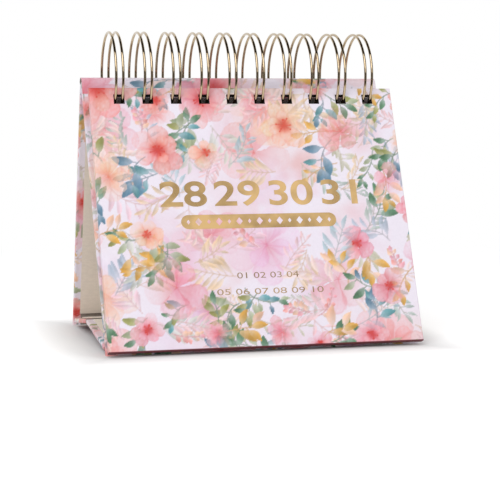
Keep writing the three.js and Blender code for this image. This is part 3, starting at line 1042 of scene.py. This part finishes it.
class CALENDAR_OT_stage(bpy.types.Operator):
    """Set the pale floor, the soft lamps and the camera"""

    bl_idname = "calendar.stage"
    bl_label = "Stage"

    def execute(self, context):
        settings = context.scene.calendar_stage
        self.floor(settings)
        self.lamp("key", (-0.75, -0.95, 1.05), 1.0, settings.key_power)
        self.lamp("fill", (0.95, -0.75, 0.75), 0.9, settings.fill_power)
        upright, quarter = 0.0, math.pi / 2
        for name, place, size, tilt, turn in (
            ("card_behind_camera", (-0.25, -0.95, 0.14), (1.7, 0.34), upright, 0.0),
            ("card_on_floor", (-0.15, -0.56, 0.003), (1.2, 0.70), quarter, 0.0),
            ("card_left", (-0.90, 0.10, 0.45), (1.10, 1.30), upright, quarter),
            ("card_above", (-0.05, 0.05, 1.10), (1.6, 1.2), quarter, 0.0),
            ("card_right", (0.85, -0.20, 0.45), (1.10, 1.30), upright, -quarter),
        ):
            self.card(name, place, size, tilt, settings.camera_yaw + turn)
        self.surroundings(context.scene, settings)
        self.camera(context.scene, settings)
        context.scene.view_settings.view_transform = "Standard"
        return {"FINISHED"}

    def floor(self, settings):
        """A pale floor, lifted towards white off the calendar's own ground and white far away."""
        recipe = Recipe("floor")
        tone = recipe.mix(recipe.noise(30, 3), solid(settings.floor, 0.985), solid(settings.floor))
        recipe.set(Base_Color=tone, Roughness=0.9, Specular_IOR_Level=0.1)
        place, rays = recipe.place(), recipe.seen_rays()
        low, high = FOUND_AT_LOAD
        middle = [(a + b) / 2 for a, b in zip(low, high)]
        half_size = [(b - a) / 2 for a, b in zip(low, high)]
        off = recipe.vector("ABSOLUTE", recipe.vector("SUBTRACT", place, middle))
        past = recipe.add("ShaderNodeSeparateXYZ", {0: recipe.vector("SUBTRACT", off, half_size)}).outputs
        clear = recipe.ramp(recipe.number("MAXIMUM", past[0], past[1]), *FLOOR_LIFTS, 0.0, settings.floor_lift)
        lift = recipe.number("MULTIPLY", clear, rays)
        lifted = recipe.add("ShaderNodeEmission", {"Color": WHITE, "Strength": lift})
        near = recipe.add("ShaderNodeAddShader", {0: recipe.shader.outputs[0], 1: lifted.outputs[0]})
        far = recipe.ramp(recipe.vector("LENGTH", place), *FLOOR_FADES, 0.0, 1.0)
        glow = recipe.add("ShaderNodeEmission", {"Color": WHITE, "Strength": 1.0})
        seen = recipe.number("MULTIPLY", far, rays)
        mixed = recipe.add("ShaderNodeMixShader", {0: seen, 1: near.outputs[0], 2: glow.outputs[0]})
        recipe.feed(recipe.nodes["Material Output"].inputs["Surface"], mixed.outputs[0])
        half = FLOOR_HALF
        corners = [(-half, -half, 0), (half, -half, 0), (half, half, 0), (-half, half, 0)]
        floor = one_face("floor", corners, recipe.material)

    def card(self, name, place, size, tilt, turn):
        """A dark card outside the view that only gloss sees, so that the wire has dark lines."""
        recipe = Recipe(name)
        tone = recipe.mix(recipe.noise(8), (0.02, 0.018, 0.016, 1), (0.03, 0.026, 0.022, 1))
        recipe.set(Base_Color=tone, Roughness=1.0, Specular_IOR_Level=0.0)
        wide, tall = (x / 2 for x in size)
        corners = [(-wide, 0, -tall), (wide, 0, -tall), (wide, 0, tall), (-wide, 0, tall)]
        card = one_face(name, corners, recipe.material)
        card.location = place
        card.rotation_euler = (tilt, 0, -turn)
        for kind in ("camera", "diffuse", "transmission", "volume_scatter", "shadow"):
            setattr(card, f"visible_{kind}", False)

    def lamp(self, name, place, size, power):
        """A square lamp that looks at the calendar."""
        light = bpy.data.lights.new(name, "AREA")
        light.size, light.energy = size, power
        lamp = placed(name, light)
        lamp.location = place
        lamp.rotation_euler = (Vector(LAMP_AIM) - Vector(place)).to_track_quat("-Z", "Y").to_euler()

    def surroundings(self, scene, settings):
        """White where the camera and reflections look, an even soft light elsewhere."""
        world = bpy.data.worlds.new("studio")
        world.use_nodes = True
        wiring = Wiring(world.node_tree)
        lit = wiring.nodes["Background"]
        wiring.feed(lit.inputs["Color"], WHITE)
        wiring.feed(lit.inputs["Strength"], settings.ambient)
        seen = wiring.add("ShaderNodeBackground", {"Color": WHITE, "Strength": 1.0})
        parts = {0: wiring.seen_rays(), 1: lit.outputs[0], 2: seen.outputs[0]}
        mixed = wiring.add("ShaderNodeMixShader", parts)
        wiring.feed(wiring.nodes["World Output"].inputs["Surface"], mixed.outputs[0])
        scene.world = world

    def camera(self, scene, settings):
        """The camera, where the photograph's stood."""
        data = bpy.data.cameras.new("camera")
        data.sensor_width, data.lens = SENSOR_WIDTH, settings.lens
        camera = placed("camera", data)
        camera.location = settings.camera_place
        camera.rotation_euler = (math.pi / 2 + settings.camera_pitch, 0, -settings.camera_yaw)
        scene.camera = camera


OPERATORS = (
    CALENDAR_OT_front_cover,
    CALENDAR_OT_cover_foil,
    CALENDAR_OT_leaves,
    CALENDAR_OT_easel,
    CALENDAR_OT_wire_binding,
    CALENDAR_OT_stage,
)
GROUPS = {
    "calendar_print": CalendarPrintSettings,
    "calendar_foil": CalendarFoilSettings,
    "calendar_wire": CalendarWireSettings,
    "calendar_paper": CalendarPaperSettings,
    "calendar_stage": CalendarStageSettings,
}


class CALENDAR_PT_panel(bpy.types.Panel):
    """The calendar's settings and steps"""

    bl_idname = "CALENDAR_PT_panel"
    bl_label = "Daily Flip Calendar"
    bl_space_type = "VIEW_3D"
    bl_region_type = "UI"
    bl_category = "Calendar"

    def draw(self, context):
        for operator in OPERATORS:
            self.layout.operator(operator.bl_idname)
        for name, group in GROUPS.items():
            box = self.layout.box()
            box.label(text=group.__doc__)
            for key in group.__annotations__:
                box.prop(getattr(context.scene, name), key)


def register():
    for group in GROUPS.values():
        bpy.utils.register_class(group)
    for name, group in GROUPS.items():
        setattr(bpy.types.Scene, name, PointerProperty(type=group))
    for operator in OPERATORS:
        bpy.utils.register_class(operator)
    bpy.utils.register_class(CALENDAR_PT_panel)


def unregister():
    bpy.utils.unregister_class(CALENDAR_PT_panel)
    for operator in reversed(OPERATORS):
        bpy.utils.unregister_class(operator)
    for name, group in GROUPS.items():
        delattr(bpy.types.Scene, name)
        bpy.utils.unregister_class(group)


def main():
    register()
    for operator in OPERATORS:
        group, name = operator.bl_idname.split(".")
        getattr(getattr(bpy.ops, group), name)()


if __name__ == "__main__":
    main()
